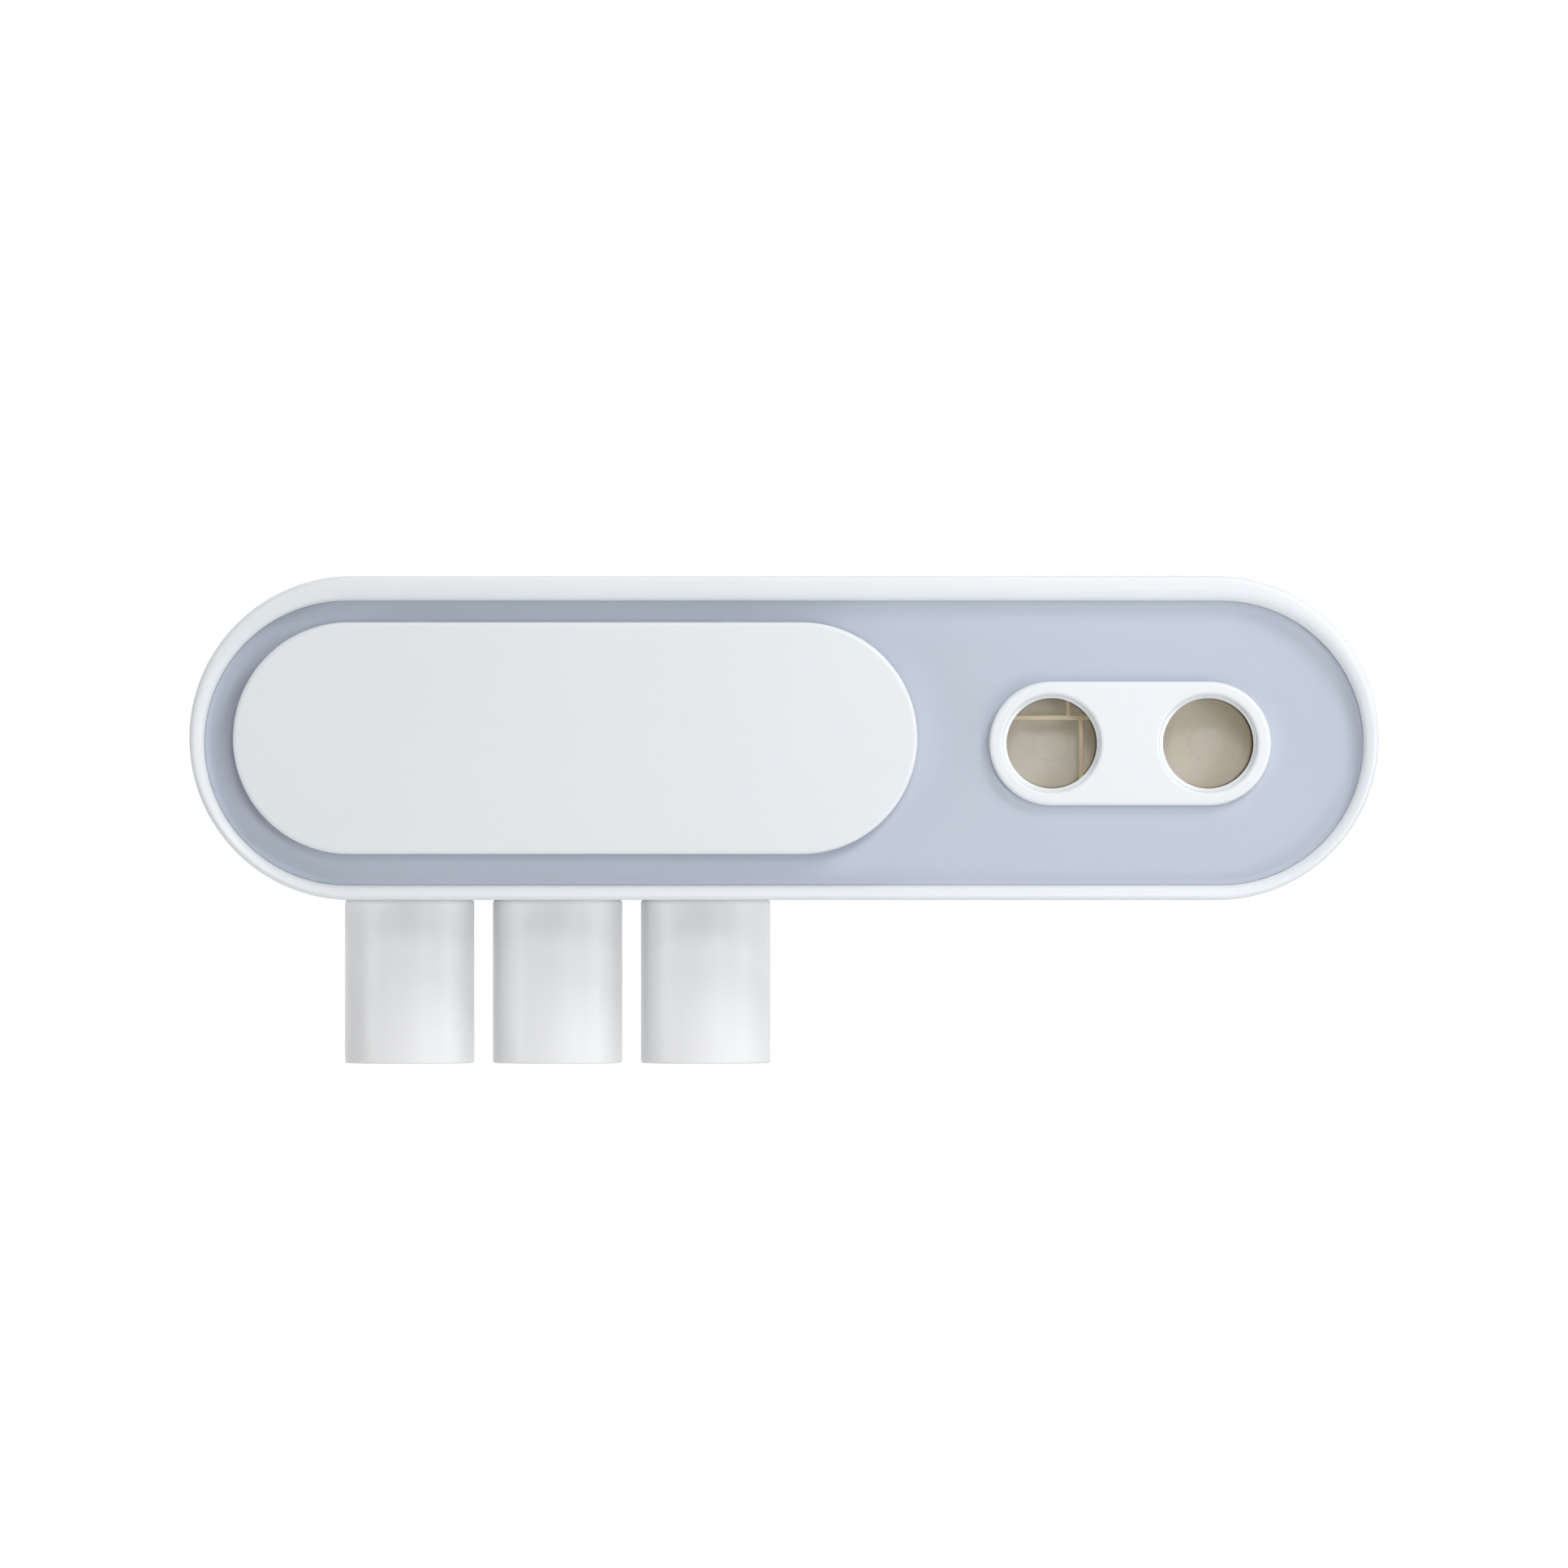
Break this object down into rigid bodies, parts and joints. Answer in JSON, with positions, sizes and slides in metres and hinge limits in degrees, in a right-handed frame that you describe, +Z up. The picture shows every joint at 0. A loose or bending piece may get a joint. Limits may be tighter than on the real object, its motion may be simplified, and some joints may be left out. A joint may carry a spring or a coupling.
{
  "type": "wall-mounted toothbrush rack",
  "caption": "Stadium-shaped wall rack with a covered brush bay, a double toothpaste squeezer with push plungers, and rinse cups hung upside down under it.",
  "frame": {"origin": "on the wall, at the middle of the back face of the adhesive sheet, behind the centre of the housing", "axes": "+X along the rack to the right as seen from the front, +Y into the wall, +Z up"},
  "size_m": [0.41, 0.0865, 0.1691],
  "materials": {
    "shell_white": "satin white injection-moulded ABS",
    "cover_white": "satin white ABS, a touch cooler than the housing",
    "cup_white": "smooth white polypropylene",
    "panel_blue_grey": "pale blue-grey satin plastic",
    "squeezer_cream": "cream moulded plastic",
    "silicone": "pale grey silicone",
    "steel": "zinc-plated and stainless steel",
    "magnet_nickel": "nickel-plated magnet",
    "adhesive_foam": "double-sided foam sheet"
  },
  "bodies": {
    "wall_mount": {"adhesive_sheet": "adhesive_foam", "wall_plate": "shell_white"},
    "rack": {"back_screw_1": "steel", "back_screw_2": "steel", "bay_screw_1": "steel", "bay_screw_2": "steel", "bay_screw_3": "steel", "bay_screw_4": "steel", "brush_bay": "shell_white", "brush_comb": "shell_white", "carrier_screw_1": "steel", "carrier_screw_2": "steel", "catch_magnet_left": "magnet_nickel", "catch_magnet_right": "magnet_nickel", "comb_screw_1": "steel", "comb_screw_2": "steel", "cup_magnet_1": "magnet_nickel", "cup_magnet_2": "magnet_nickel", "cup_magnet_3": "magnet_nickel", "face_panel": "panel_blue_grey", "housing": "shell_white", "inlet_collar_left": "silicone", "inlet_collar_right": "silicone", "inlet_valve_left": "silicone", "inlet_valve_right": "silicone", "magnet_carrier": "shell_white", "pump_bellows_left": "silicone", "pump_bellows_right": "silicone", "rear_cover": "shell_white", "rear_screw_1": "steel", "rear_screw_2": "steel", "rear_screw_3": "steel", "rear_screw_4": "steel", "rear_screw_5": "steel", "rear_screw_6": "steel", "return_spring_left": "steel", "return_spring_right": "steel", "squeezer_back": "squeezer_cream", "squeezer_bezel": "shell_white", "squeezer_body": "squeezer_cream", "squeezer_screw_1": "steel", "squeezer_screw_2": "steel", "squeezer_screw_3": "steel", "squeezer_screw_4": "steel", "tube_deck": "shell_white"},
    "cover": {"dust_cover": "cover_white", "hinge_pin_left": "steel", "hinge_pin_right": "steel", "catch_plate_left": "steel", "catch_plate_right": "steel"},
    "cup_1_body": {"cup_1": "cup_white", "cup_disc_1": "steel"},
    "cup_2_body": {"cup_2": "cup_white", "cup_disc_2": "steel"},
    "cup_3_body": {"cup_3": "cup_white", "cup_disc_3": "steel"},
    "plunger_left_body": {"plunger_left": "squeezer_cream"},
    "plunger_right_body": {"plunger_right": "squeezer_cream"}
  },
  "joints": [
    {"name": "rack_lift", "type": "slide", "parent": "wall_mount", "child": "rack", "axis": [0, 0, 1], "range_m": [0, 0.012]},
    {"name": "cover_hinge", "type": "hinge", "parent": "rack", "child": "cover", "pos_m": [-0.072, -0.08134, 0.0378], "axis": [-1, 0, 0], "range_deg": [0, 90]},
    {"name": "cup_1_pull", "type": "slide", "parent": "rack", "child": "cup_1_body", "axis": [0, 0, -1], "range_m": [0, 0.06]},
    {"name": "cup_2_pull", "type": "slide", "parent": "rack", "child": "cup_2_body", "axis": [0, 0, -1], "range_m": [0, 0.06]},
    {"name": "cup_3_pull", "type": "slide", "parent": "rack", "child": "cup_3_body", "axis": [0, 0, -1], "range_m": [0, 0.06]},
    {"name": "plunger_left_push", "type": "slide", "parent": "rack", "child": "plunger_left_body", "axis": [0, 1, 0], "range_m": [0, 0.014], "stiffness_N_per_m": 150, "springref_m": -0.01, "deforming": ["return_spring_left", "pump_bellows_left"]},
    {"name": "plunger_right_push", "type": "slide", "parent": "rack", "child": "plunger_right_body", "axis": [0, 1, 0], "range_m": [0, 0.014], "stiffness_N_per_m": 150, "springref_m": -0.01, "deforming": ["return_spring_right", "pump_bellows_right"]}
  ]
}
